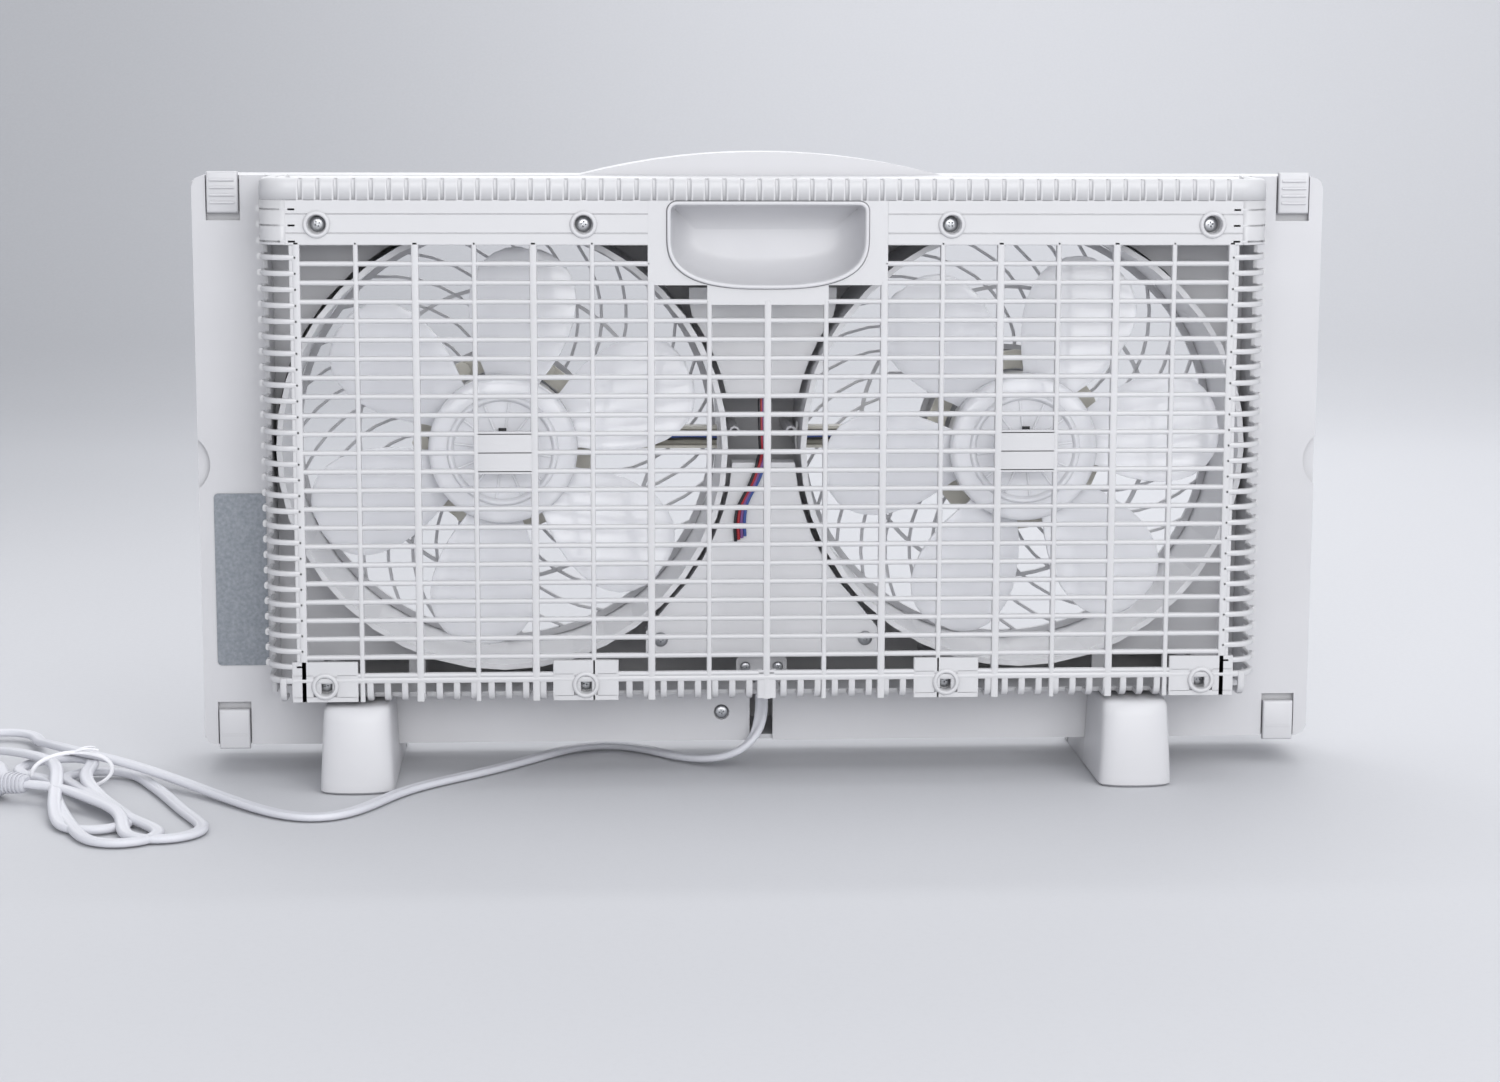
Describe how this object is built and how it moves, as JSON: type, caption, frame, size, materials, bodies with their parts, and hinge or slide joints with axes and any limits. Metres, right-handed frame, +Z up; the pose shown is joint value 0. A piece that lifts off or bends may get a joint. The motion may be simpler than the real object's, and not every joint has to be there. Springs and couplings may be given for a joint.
{
  "type": "window fan",
  "caption": "Flat white window fan with side-by-side propellers behind an outdoor guard, carry handle, sliding extenders with locks, feet and a tied mains cord.",
  "frame": {"origin": "centre of the footprint on the floor, measured without the cord", "axes": "+Z up, -Y towards the outdoor guard, +Y into the room, +X along the fan's width, to the right as seen from outdoors"},
  "size_m": [0.758, 0.2582, 0.3386],
  "materials": {
    "white": "satin",
    "blade": "glossy, slightly translucent",
    "beige": "satin",
    "black": "matte",
    "motor": "satin",
    "steel": "zinc plated",
    "brass": "bright",
    "label": "satin foil",
    "cord": "satin",
    "tie": "satin",
    "lens": "glossy",
    "wire": "satin"
  },
  "bodies": {
    "base": {"front_housing": "white", "duct_left": "white", "duct_right": "white", "rear_guard": "white", "handle_cup": "white", "cord_clamp": "white", "control_cover": "white", "switch_shield": "white", "control_panel": "white", "rear_cover_left": "white", "rear_cover_right": "white", "foot_left": "white", "foot_right": "white", "front_grille_left": "white", "front_grille_right": "white", "motor_left": "motor", "motor_plate_left": "beige", "motor_lead_left": "wire", "motor_right": "motor", "motor_plate_right": "beige", "motor_lead_right": "wire", "guard_screw_a": "steel", "guard_screw_b": "steel", "guard_screw_c": "steel", "guard_screw_d": "steel", "guard_screw_e": "steel", "guard_screw_f": "steel", "guard_screw_g": "steel", "guard_screw_h": "steel", "flange_screw_left": "steel", "flange_screw_right": "steel", "clamp_screw_left": "steel", "clamp_screw_right": "steel", "cover_screw_left": "steel", "cover_screw_right": "steel", "speed_switch": "black", "mode_switch": "black", "pilot_lens": "lens", "wire_ribbon": "wire", "rating_label": "label", "cord_run": "cord", "cord_hank": "cord", "cord_tie": "tie", "plug": "cord", "plug_pin_a": "brass", "plug_pin_b": "brass"},
    "fan_left": {"fan_left": "blade", "shaft_left": "steel", "clip_left": "black"},
    "fan_right": {"fan_right": "blade", "shaft_right": "steel", "clip_right": "black"},
    "extender_left": {"extender_left": "white"},
    "extender_right": {"extender_right": "white"},
    "lock_top_left": {"lock_top_left": "white"},
    "lock_top_right": {"lock_top_right": "white"},
    "lock_bottom_left": {"lock_bottom_left": "white"},
    "lock_bottom_right": {"lock_bottom_right": "white"},
    "speed_knob": {"speed_knob": "white"},
    "mode_knob": {"mode_knob": "white"}
  },
  "joints": [
    {"name": "fan_left_spin", "type": "hinge", "parent": "base", "child": "fan_left", "pos_m": [-0.1406, 0, 0.1808], "axis": [0, 1, 0], "continuous": true},
    {"name": "fan_right_spin", "type": "hinge", "parent": "base", "child": "fan_right", "pos_m": [0.1406, 0, 0.1808], "axis": [0, 1, 0], "continuous": true},
    {"name": "extender_left_slide", "type": "slide", "parent": "base", "child": "extender_left", "axis": [-1, 0, 0], "range_m": [0, 0.036]},
    {"name": "extender_right_slide", "type": "slide", "parent": "base", "child": "extender_right", "axis": [1, 0, 0], "range_m": [0, 0.036]},
    {"name": "lock_top_left_slide", "type": "slide", "parent": "base", "child": "lock_top_left", "axis": [0, 0, -1], "range_m": [0, 0.003]},
    {"name": "lock_top_right_slide", "type": "slide", "parent": "base", "child": "lock_top_right", "axis": [0, 0, -1], "range_m": [0, 0.003]},
    {"name": "lock_bottom_left_slide", "type": "slide", "parent": "base", "child": "lock_bottom_left", "axis": [0, 0, 1], "range_m": [0, 0.003]},
    {"name": "lock_bottom_right_slide", "type": "slide", "parent": "base", "child": "lock_bottom_right", "axis": [0, 0, 1], "range_m": [0, 0.003]},
    {"name": "speed_knob_turn", "type": "hinge", "parent": "base", "child": "speed_knob", "pos_m": [0, 0.05, 0.25], "axis": [0, -1, 0], "range_deg": [0, 90]},
    {"name": "mode_knob_turn", "type": "hinge", "parent": "base", "child": "mode_knob", "pos_m": [0, 0.05, 0.112], "axis": [0, -1, 0], "range_deg": [0, 90]}
  ]
}
